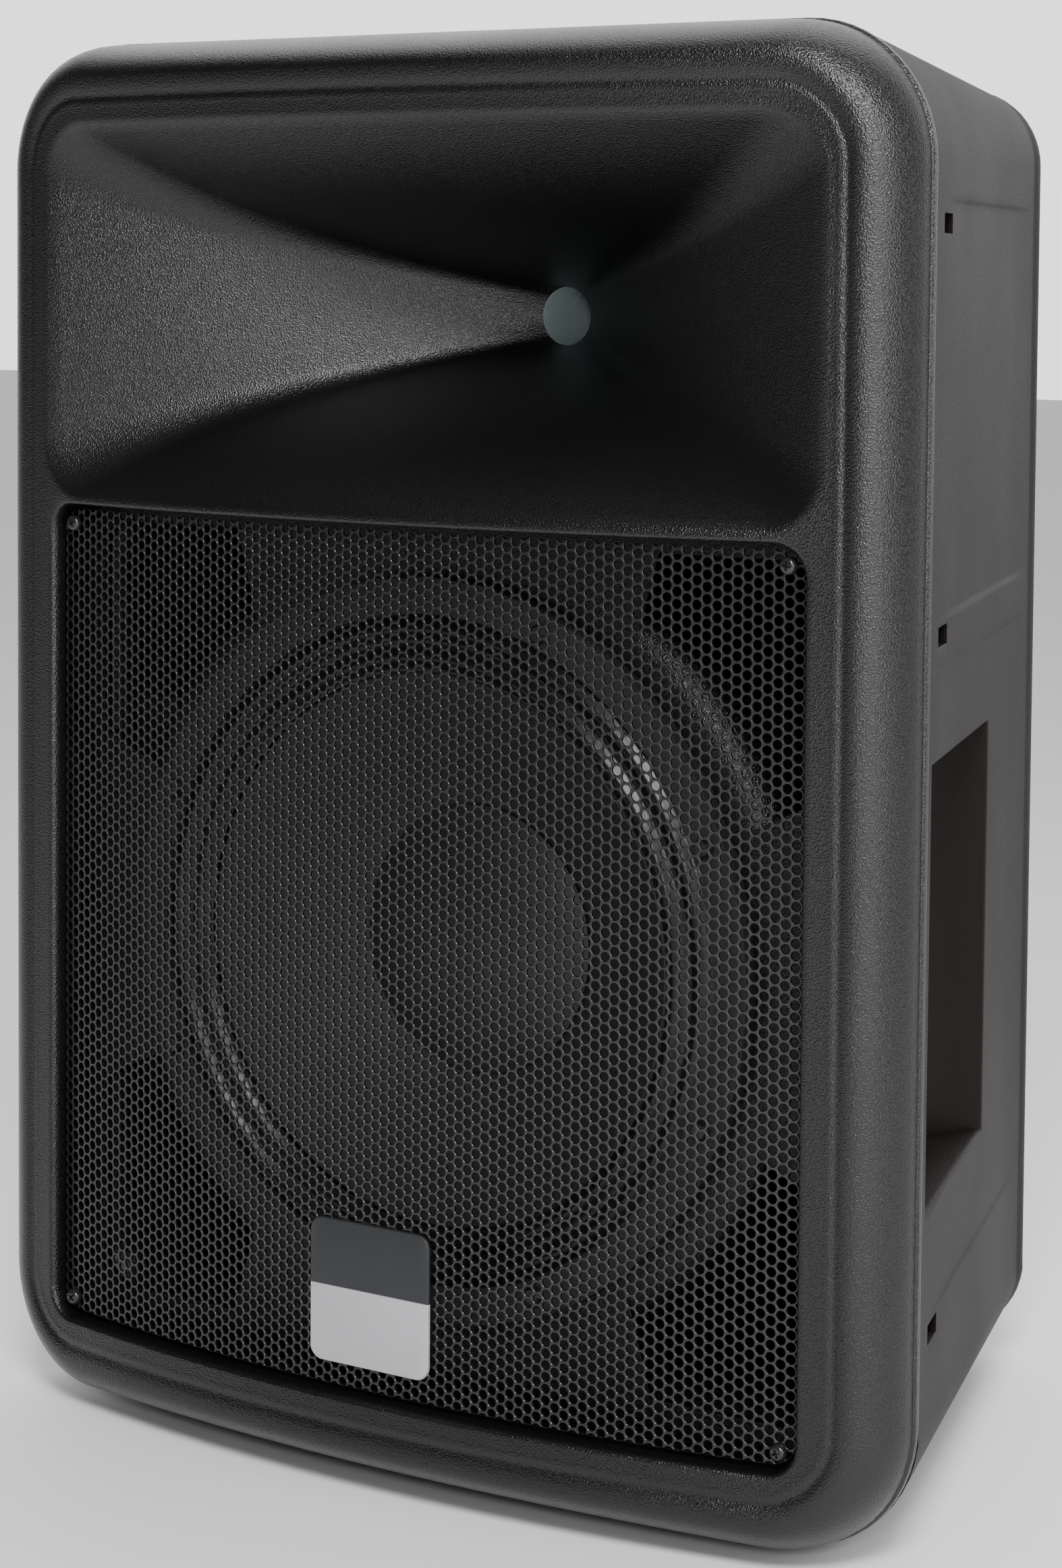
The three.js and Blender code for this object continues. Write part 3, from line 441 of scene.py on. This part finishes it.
def port_outline(grow, sign_x, sign_z):
    """A corner port: two straight sides and an arc around the woofer."""
    beside = min(grow, 5.0)
    right, high, radius = PORT_RIGHT + beside, PORT_HIGH + beside, PORT_RADIUS - grow
    corner = PORT_CORNER
    start, end = math.asin(PORT_NEAR_Z / radius), math.acos(PORT_NEAR_X / radius)
    angle = np.linspace(start, end, 17)
    points = [(radius * math.cos(a), radius * math.sin(a)) for a in angle]
    top = np.linspace(points[-1][0], right - corner, 7)[1:]
    points += [(x, high) for x in top]
    for a in np.linspace(80, 10, 7):
        turn = math.radians(a)
        points.append((right - corner + corner * math.cos(turn),
                       high - corner + corner * math.sin(turn)))
    side = np.linspace(high - corner, points[0][1], 7)[:-1]
    points += [(right, z) for z in side]
    line = np.array([(sign_x * x, WOOFER_Z + sign_z * z) for x, z in points])
    return line if sign_x * sign_z > 0 else line[::-1]


def front_shell(material):
    """The rim, horn, recess, ports and woofer cut-out, joined by the face and the baffle."""
    surface = Surface()
    rim = rim_loops()
    horn = horn_loops()
    recess = recess_loops()
    surface.loft(rim)
    surface.loft(horn)
    surface.loft(recess)
    surface.fill([rim[-1][:, ::2], horn[0][:, ::2], recess[0][:, ::2]], face_y)
    ports = []
    for sign_x in (-1, 1):
        for sign_z in (-1, 1):
            flare = [at_depth(port_outline(grow, sign_x, sign_z), level(BAFFLE_Y + depth))
                     for grow, depth in PORT_FLARE]
            surface.loft(flare)
            ports.append(flare[0][:, ::2])
    cutout = [at_depth(circle(r, 0, WOOFER_Z, 96), level(y))
              for r, y in ((WOOFER_CUTOUT + 0.8, BAFFLE_Y), (WOOFER_CUTOUT, BAFFLE_Y + 0.8),
                           (WOOFER_CUTOUT, BAFFLE_Y + 6))]
    surface.loft(cutout)
    surface.fill([recess[-1][:, ::2], cutout[0][:, ::2], *ports], lambda x: BAFFLE_Y)
    return surface.object("front_shell_skin", material)


# ---------------------------------------------------------------- grille
def grille_mesh(material):
    """A bowed sheet with staggered round holes: one hexagonal cell per hole."""
    column = HOLE_PITCH * math.sqrt(3) / 2
    columns = int(GRILLE_HALF_WIDTH / column) + 1
    rows = int((GRILLE_HIGH - GRILLE_LOW) / HOLE_PITCH / 2) + 2
    middle_z = (GRILLE_LOW + GRILLE_HIGH) / 2
    hexagon = hex_ring(HOLE_PITCH / math.sqrt(3), HOLE_STEPS)
    hole = hex_ring(HOLE_RADIUS, HOLE_STEPS, round_hole=True)
    verts, faces = [], []
    for i in range(-columns, columns + 1):
        for j in range(-rows, rows + 1):
            u = i * column
            z = middle_z + (j + (0.5 if i % 2 else 0.0)) * HOLE_PITCH
            outer = clip_to_sheet(hexagon + (u, z))
            inner = clip_to_sheet(hole + (u, z))
            if abs(u) > GRILLE_HALF_WIDTH + 1.2 or not (GRILLE_LOW - 1 < z < GRILLE_HIGH + 1):
                continue
            if near_screw(u, z):
                add_plain_cell(verts, faces, outer)
                continue
            add_cell(verts, faces, outer, inner)
    return make_object("grille_sheet", verts, faces, material)


def hex_ring(radius, steps, round_hole=False):
    """Points round a hexagon with flat top and bottom edges, or round its hole."""
    points = []
    for k in range(steps):
        angle = 2 * math.pi * k / steps
        if round_hole:
            reach = radius
        else:
            folded = (angle % (math.pi / 3)) - math.pi / 6
            reach = radius * math.cos(math.pi / 6) / math.cos(folded)
        points.append((reach * math.cos(angle), reach * math.sin(angle)))
    return np.array(points)


def clip_to_sheet(points):
    """Pulls points that lie beyond the sheet's rounded edge back onto it."""
    low, high, corner = GRILLE_LOW, GRILLE_HIGH, GRILLE_CORNER
    out = points.copy()
    out[:, 0] = np.clip(out[:, 0], -GRILLE_HALF_WIDTH, GRILLE_HALF_WIDTH)
    out[:, 1] = np.clip(out[:, 1], low, high)
    cx = np.clip(out[:, 0], -GRILLE_HALF_WIDTH + corner, GRILLE_HALF_WIDTH - corner)
    cz = np.clip(out[:, 1], low + corner, high - corner)
    dx, dz = out[:, 0] - cx, out[:, 1] - cz
    distance = np.hypot(dx, dz)
    both = (np.abs(dx) > 1e-6) & (np.abs(dz) > 1e-6) & (distance > corner)
    scale = np.where(both, corner / np.maximum(distance, 1e-6), 1.0)
    out[:, 0] = cx + dx * scale
    out[:, 1] = cz + dz * scale
    return out


def near_screw(u, z):
    return any(math.hypot(abs(u) - SCREW_X, z - spot) < HEAD_CLEAR
               for spot in (SCREW_LOW, SCREW_HIGH))


def add_cell(verts, faces, outer, inner):
    """Front, hole wall and back of one perforated cell."""
    count = len(outer)
    base = len(verts)
    centre = inner.mean(axis=0)
    bevel = centre + (inner - centre) * (1 + HOLE_BEVEL / HOLE_RADIUS)
    layers = ((outer, 0.0), (bevel, 0.0), (inner, HOLE_BEVEL),
              (inner, GRILLE_THICKNESS), (outer, GRILLE_THICKNESS))
    for ring, depth in layers:
        verts.extend((x, bow(x) + depth, z) for x, z in ring)
    for layer in range(len(layers) - 1):
        for k in range(count):
            m = (k + 1) % count
            a, b = base + layer * count, base + (layer + 1) * count
            faces.append((a + k, a + m, b + m, b + k))


def add_plain_cell(verts, faces, outer):
    """Front and back of a cell with no hole, under a screw."""
    count = len(outer)
    base = len(verts)
    for depth in (0.0, GRILLE_THICKNESS):
        verts.extend((x, bow(x) + depth, z) for x, z in outer)
    faces.append(tuple(base + k for k in range(count)))
    faces.append(tuple(base + count + k for k in reversed(range(count))))


# ---------------------------------------------------------------- badge and screws
def badge(material):
    loops = []
    front = BADGE_FRONT
    for inset, y in ((0.0, BADGE_BACK), (0.0, front + 0.5), (0.25, front + 0.12), (0.7, front)):
        line = rounded_outline(BADGE_WIDTH / 2 - inset, BADGE_Z - BADGE_HEIGHT / 2 + inset,
                               BADGE_Z + BADGE_HEIGHT / 2 - inset, BADGE_CORNER - inset, 8, 2, 2)
        line[:, 0] += BADGE_X
        loops.append(at_depth(line, level(y)))
    surface = Surface()
    surface.loft(loops)
    surface.fill([loops[-1][:, ::2]], lambda x: front)
    return surface.object("badge_plate", material)


def pan_head(name, x, z, seat, material, spin):
    """A domed screw head with a cross recess, facing -Y and turned by spin."""
    surface = Surface()
    radius, height = HEAD_RADIUS, HEAD_HEIGHT
    top = seat - height
    arm, half = radius * 0.5, radius * 0.13
    cross = [(half, half), (half, arm), (-half, arm), (-half, half), (-arm, half), (-arm, -half),
             (-half, -half), (-half, -arm), (half, -arm), (half, -half), (arm, -half), (arm, half)]
    turned = np.array([(x + a * math.cos(spin) - b * math.sin(spin),
                        z + a * math.sin(spin) + b * math.cos(spin)) for a, b in cross])
    dome = [(radius, seat), (radius, seat - height * 0.35), (radius * 0.94, seat - height * 0.62),
            (radius * 0.8, seat - height * 0.87), (radius * 0.62, top)]
    surface.loft(lathe(dome, z, 32, x))
    surface.fill([circle(radius * 0.62, x, z, 32), turned], lambda _: top)
    floor = top + height * 0.6
    surface.loft([at_depth(turned, level(y)) for y in (top, floor)])
    surface.fill([turned], lambda _: floor)
    return surface.object(name, material)


def stand_in(obj, node, body="cabinet"):
    """Puts a fine piece in place of its CAD node."""
    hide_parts(node)
    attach(obj, body)


# ---------------------------------------------------------------- woofer
def cone_parts(paper, cap_paper):
    """The cone and the dust cap in front of its throat, as thin closed skins."""
    cone = Surface()
    cone.loft(lathe(CONE_PROFILE, WOOFER_Z))
    stand_in(cone.object("cone_skin", paper), "woofer_cone", "woofer_moving_parts")
    cap = Surface()
    dome = [(CAP_RADIUS * share, CAP_EDGE_Y - CAP_RISE * (1 - share ** 2))
            for share in np.linspace(1, 0, 16)]
    back = [(r * 0.975, y + CAP_SHEET) for r, y in reversed(dome)]
    cap.loft(lathe([(CAP_RADIUS, 71.3), *dome, *back], WOOFER_Z, 96))
    stand_in(cap.object("dust_cap_skin", cap_paper), "woofer_dust_cap", "woofer_moving_parts")


def surround_profile():
    """The surround's closed cross-section as (radius, y): a rolled sheet of even thickness."""
    front = []
    for radius in np.linspace(SURROUND_OUTER, SURROUND_INNER, 60):
        share = (SURROUND_OUTER - radius) / (SURROUND_OUTER - SURROUND_INNER)
        turn = share * SURROUND_ROLLS * 2 * math.pi
        front.append((radius, SURROUND_Y + SURROUND_ROLL * math.cos(turn)))
    back = [(r, y + SURROUND_SHEET) for r, y in reversed(front)]
    return front + back


def surround(cloth):
    """The surround in sectors, each turned from its rolled cross-section and closed at both ends.
    """
    profile = surround_profile()
    for k in range(SURROUND_SECTORS):
        angles = np.linspace(k, k + 1, 11) * 2 * math.pi / SURROUND_SECTORS
        sector = Surface()
        sector.loft([[(r * math.cos(a), y, WOOFER_Z + r * math.sin(a)) for r, y in profile]
                     for a in angles])
        last = len(sector.verts) - len(profile)
        sector.faces.append(tuple(range(len(profile))))
        sector.faces.append(tuple(last + i for i in reversed(range(len(profile)))))
        piece = sector.object(f"surround_sector_{k + 1:02d}", cloth)
        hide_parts("woofer_surround")
        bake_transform(piece)


# ---------------------------------------------------------------- rear shell
def eased(centre, inward):
    """Grid lines across a rounded edge at centre; inward, +1 or -1, points into the recess."""
    return [centre + inward * p for p in EDGE_AT]


def rear_side_heights():
    """Heights of the grid lines up the side walls, close together at every edge."""
    heights = list(np.arange(GRID_LOW, 539.0, 11.0))
    heights += eased(HANDLE_LOW, 1) + eased(HANDLE_HIGH, -1)
    for middle in POCKET_HEIGHTS:
        for offset in POCKET_LINES:
            heights += [middle - offset, middle + offset]
    for low, high in SIDE_PANELS:
        for edge in (low, high):
            heights += [edge - 1.4, edge - 0.5, edge + 0.5, edge + 1.4]
    return thinned(heights, GRID_LOW, GRID_HIGH)


def rear_depths():
    """Depths of the grid loops from the seam to where the rear edge starts to round over."""
    depths = [SEAM_Y + 0.3, SEAM_Y + 1.5, SEAM_Y + 4]
    depths += eased(HANDLE_FRONT, 1)
    depths += POCKET_LOOPS
    depths += list(np.arange(94.0, 200.0, 6.0)) + [202.0, 204.0, 205.5, 208.0]
    depths += list(np.arange(214.0, REAR_Y - REAR_EDGE, 10.0))
    return thinned(depths, SEAM_Y + 0.3, REAR_Y - REAR_EDGE) + [REAR_Y - REAR_EDGE]


def thinned(values, low, high):
    """The values from low to high in order, without those too close to the one before."""
    kept = []
    for value in sorted(values):
        if low <= value <= high and (not kept or value - kept[-1] > GRID_GAP):
            kept.append(float(value))
    return kept


def handle_floor(y):
    """Distance from the middle of the cabinet to the floor of the hand recess."""
    if y < HANDLE_FRONT + HANDLE_FILLET:
        share = min(1.0, (HANDLE_FRONT + HANDLE_FILLET - y) / HANDLE_FILLET)
        return HANDLE_DEEP_X + HANDLE_FILLET * (1 - math.sqrt(max(0.0, 1 - share ** 2)))
    t = np.linspace(0, 1, 60)
    a, b, c, d = HANDLE_CURVE
    points = ((1 - t) ** 3)[:, None] * a + (3 * t * (1 - t) ** 2)[:, None] * b
    points = points + (3 * t ** 2 * (1 - t))[:, None] * c + (t ** 3)[:, None] * d
    return float(np.interp(y, points[:, 1], points[:, 0]))


def side_depth(y, z, wall):
    """How far the side wall is carved in at that depth and height."""
    depth = 0.0
    fade = float(np.interp(min(y - PANEL_FRONT, PANEL_BACK - y), (0, PANEL_FADE), (0, 1)))
    for low, high in SIDE_PANELS:
        near = min(z - low, high - z)
        depth = max(depth, fade * float(np.interp(near, (-1, 1), (0, PANEL_DEPTH))))
    if HANDLE_FRONT - 4 < y < HANDLE_REAR + 3 and HANDLE_LOW - 4 < z < HANDLE_HIGH + 4:
        across = float(np.interp(min(z - HANDLE_LOW, HANDLE_HIGH - z), EDGE_AT, EDGE_DEPTH))
        along = float(np.interp(y - HANDLE_FRONT, EDGE_AT, EDGE_DEPTH))
        depth = max(depth, min(wall - handle_floor(y), across, along))
    for middle in POCKET_HEIGHTS:
        near = min(POCKET_HALF_HEIGHT - abs(z - middle), y - POCKET_FRONT, POCKET_BACK - y)
        if near > -0.6:
            carved = float(np.interp(near, (-0.5, 0, 0.3), (0, 0.6, 30)))
            depth = max(depth, min(wall - POCKET_FLOOR_X, carved))
    return depth


def arc_points(centre_x, centre_z, radius, start, steps=12):
    """The points inside a quarter circle that starts at that angle, without its two ends."""
    angles = [math.radians(start + 90 * i / steps) for i in range(1, steps)]
    return [(centre_x + radius * math.cos(a), centre_z + radius * math.sin(a)) for a in angles]


def rear_loop(y, heights, inset=0.0):
    """One loop round the rear shell, anticlockwise from the bottom of the right wall."""
    t = min(1.0, max(0.0, (y - SEAM_Y) / (REAR_Y - REAR_EDGE - SEAM_Y)))
    half_width = (HALF_WIDTH - 1) + (REAR_HALF_WIDTH - HALF_WIDTH + 1) * t - inset
    low = 0.5 + (REAR_LOW - 0.5) * t + inset
    high = HEIGHT - 0.5 + (REAR_TOP - HEIGHT + 0.5) * t - inset
    radius = max(CORNER - 1 + (REAR_CORNER - CORNER + 1) * t - inset, 11.0)
    side = [low + radius, *heights, high - radius]
    span = np.linspace(half_width - radius, -(half_width - radius), 26)
    walls = []
    for z in side:
        wall = half_width * (1 - NARROWING * (1 - z / HEIGHT))
        walls.append(wall - (side_depth(y, z, wall) if inset == 0.0 else 0.0))
    right = list(zip(walls, side))
    left = [(-x, z) for x, z in reversed(right)]
    inner, top, bottom = half_width - radius, high - radius, low + radius
    points = right + arc_points(inner, top, radius, 0) + [(x, high) for x in span]
    points += arc_points(-inner, top, radius, 90) + left
    points += arc_points(-inner, bottom, radius, 180) + [(x, low) for x in reversed(span)]
    points += arc_points(inner, bottom, radius, 270)
    return np.array([(x, y, z) for x, z in points])


def rear_shell(material):
    """The tapered rear shell, with its carved sides, panel opening, pole hole and bosses."""
    surface = Surface()
    heights = rear_side_heights()
    loops = [rear_loop(SEAM_Y + 0.3, heights, inset) for inset in (5.0, 1.2)]
    loops += [rear_loop(y, heights) for y in rear_depths()]
    for angle in np.linspace(9, 90, 10):
        turn = math.radians(angle)
        loops.append(rear_loop(REAR_Y - REAR_EDGE * (1 - math.sin(turn)), heights,
                               REAR_EDGE * (1 - math.cos(turn))))
    surface.loft(loops)
    panel = rounded_outline(PANEL_WIDTH / 2 + PANEL_GAP, PANEL_Z - PANEL_HEIGHT / 2 - PANEL_GAP,
                            PANEL_Z + PANEL_HEIGHT / 2 + PANEL_GAP, 4.0, 6, 4, 4)
    surface.fill([loops[-1][::2, (0, 2)], panel], lambda x: REAR_Y)
    surface.loft([at_depth(panel, level(y)) for y in (REAR_Y, REAR_Y - 6)])
    open_pole_socket(surface)
    for x, y, radius in BOSSES:
        add_boss(surface, x, y, radius)
    return surface.object("rear_shell_skin", material, REAR_SMOOTH_ANGLE)


def open_pole_socket(surface):
    """Leaves the underside open where the pole socket passes through it."""
    points = np.array(surface.verts)
    kept = []
    for face in surface.faces:
        x, y, z = points[list(face)].mean(axis=0)
        if z > UNDERSIDE_Z or math.hypot(x, y - POLE_Y) > POLE_HOLE_RADIUS:
            kept.append(face)
    surface.faces = kept


def add_boss(surface, x, y, radius):
    """A short round seat that stands out of the sloping underside."""
    loops = []
    for reach, z in ((radius, 14.0), (radius, 0.6), (radius - 0.6, 0.0), (radius - 6, 0.0)):
        ring = circle(reach, x, y, 40)
        loops.append(np.column_stack([ring[:, 0], ring[:, 1], np.full(40, z)]))
    surface.loft(loops)


# ---------------------------------------------------------------- floor, light and camera
def studio():
    """A pale floor, and a world that is bright behind the object and dim in front of it."""
    bpy.ops.mesh.primitive_plane_add(size=24, location=(0, 0, 0))
    floor = bpy.context.object
    floor.name = "studio_floor"
    floor.data.materials.append(plain("studio_floor", (0.86, 0.86, 0.86), 0.7))
    bpy.context.scene.world = studio_world()
    for light in LIGHTS:
        add_area(*light)


def studio_world():
    world = bpy.data.worlds.new("studio_world")
    world.use_nodes = True
    tree = world.node_tree
    coordinates = tree.nodes.new("ShaderNodeTexCoord")
    split = tree.nodes.new("ShaderNodeSeparateXYZ")
    tree.links.new(coordinates.outputs["Generated"], split.inputs["Vector"])
    strength = map_range(tree, split.outputs["Y"], WORLD_FROM, WORLD_TO, WORLD_DIM,
                         WORLD_BRIGHT)
    background = tree.nodes["Background"]
    background.inputs["Color"].default_value = (1, 1, 1, 1)
    tree.links.new(strength, background.inputs["Strength"])
    return world


def add_area(name, place, target, width, height, power):
    data = bpy.data.lights.new(name, "AREA")
    data.shape = "RECTANGLE"
    data.size = width
    data.size_y = height
    data.energy = power
    light = bpy.data.objects.new(name, data)
    bpy.context.scene.collection.objects.link(light)
    light.location = place
    direction = Vector(target) - Vector(place)
    light.rotation_euler = direction.to_track_quat("-Z", "Y").to_euler()


def camera():
    """The view from the right of the front, a little above the middle."""
    azimuth, elevation, roll = (math.radians(a) for a in (CAMERA_AZIMUTH, CAMERA_ELEVATION,
                                                          CAMERA_ROLL))
    back = Vector((math.sin(azimuth) * math.cos(elevation),
                   -math.cos(azimuth) * math.cos(elevation), math.sin(elevation)))
    forward = -back
    right = forward.cross(Vector((0, 0, 1))).normalized()
    up = right.cross(forward)
    turned_right = math.cos(roll) * right + math.sin(roll) * up
    turned_up = -math.sin(roll) * right + math.cos(roll) * up
    data = bpy.data.cameras.new("camera")
    data.lens = CAMERA_LENS
    data.sensor_width = CAMERA_SENSOR
    data.shift_x = CAMERA_SHIFT_X
    data.shift_y = CAMERA_SHIFT_Y
    place = (Vector(CAMERA_PLACE) + SHIFT) * 0.001
    rotation = Matrix((turned_right, turned_up, back)).transposed().to_4x4()
    obj = bpy.data.objects.new("camera", data)
    obj.matrix_world = Matrix.Translation(place) @ rotation
    bpy.context.scene.collection.objects.link(obj)
    bpy.context.scene.camera = obj


# ---------------------------------------------------------------- assembly
def finish_cad_nodes(nodes, looks):
    """Gives each CAD node that stays visible its own finish."""
    for name, node in nodes.items():
        for start, material in looks:
            if name.startswith(start):
                node.data.materials.clear()
                node.data.materials.append(material)
                break


def main():
    front = grained_plastic("front_plastic", (0.0024, 0.0025, 0.0026), 0.00024, 0.33, 0.5)
    rear = grained_plastic("rear_plastic", (0.0072, 0.0054, 0.0047), 0.0002, 0.55, 0.1)
    steel = plain("grille_paint", (0.006, 0.006, 0.0062), 0.26, 0.0, 0.00002, 2500.0)
    fastener = plain("black_screw", (0.012, 0.012, 0.012), 0.18, 0.0)
    paper = plain("cone_paper", (0.014, 0.0145, 0.0155), 0.62, 0.0, 0.0001, 700.0)
    cap_paper = plain("cap_paper", (0.013, 0.0135, 0.0145), 0.5, 0.0, 0.00005, 900.0)
    cloth = plain("surround_cloth", (0.005, 0.005, 0.005), 0.3, 0.0, 0.00005, 1400.0)
    zinc = plain("cast_zinc", (0.42, 0.5, 0.5), 0.45, 0.3, 0.00004, 900.0)
    enamel = plain("basket_enamel", (0.016, 0.016, 0.016), 0.45)
    rubber = plain("foot_rubber", (0.016, 0.016, 0.016), 0.75, 0.0, 0.0001, 600.0)
    bright = plain("bright_steel", (0.6, 0.61, 0.62), 0.35, 1.0)
    ferrite = plain("ferrite", (0.03, 0.03, 0.032), 0.7)
    copper = plain("copper_wire", (0.6, 0.3, 0.14), 0.35, 1.0)
    looks = [("rear_shell", rear), ("front_shell", front), ("grille_screw", fastener),
             ("grille", steel), ("badge", bright), ("foot", rubber), ("pole_socket", rear),
             ("input_panel", enamel), ("input_jack", fastener), ("panel_screw", fastener),
             ("shell_screw", fastener), ("woofer_bolt", fastener), ("woofer_basket", enamel),
             ("woofer_gasket", rubber), ("woofer_surround", cloth), ("woofer_cone", paper),
             ("woofer_dust_cap", cap_paper), ("woofer_spider", copper),
             ("woofer_voice_coil", copper), ("woofer_magnet", ferrite),
             ("horn_driver_magnet", zinc), ("horn_driver_adapter", zinc),
             ("horn_driver_cover", rubber), ("woofer", bright), ("horn", bright),
             ("crossover_coil", copper), ("crossover", ferrite)]
    finish_cad_nodes(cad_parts, looks)

    stand_in(front_shell(front), "front_shell")
    stand_in(rear_shell(rear), "rear_shell")
    stand_in(grille_mesh(steel), "grille")
    stand_in(badge(badge_material()), "badge")
    spots = [(-SCREW_X, SCREW_HIGH), (SCREW_X, SCREW_HIGH), (-SCREW_X, SCREW_LOW),
             (SCREW_X, SCREW_LOW)]
    for i, (x, z) in enumerate(spots):
        head = pan_head(f"grille_screw_head_{i + 1}", x, z, float(bow(x)) - HEAD_SINK, fastener,
                        0.5 + i)
        stand_in(head, f"grille_screw_{i + 1}")
    cone_parts(paper, cap_paper)
    surround(cloth)

    studio()
    camera()


main()
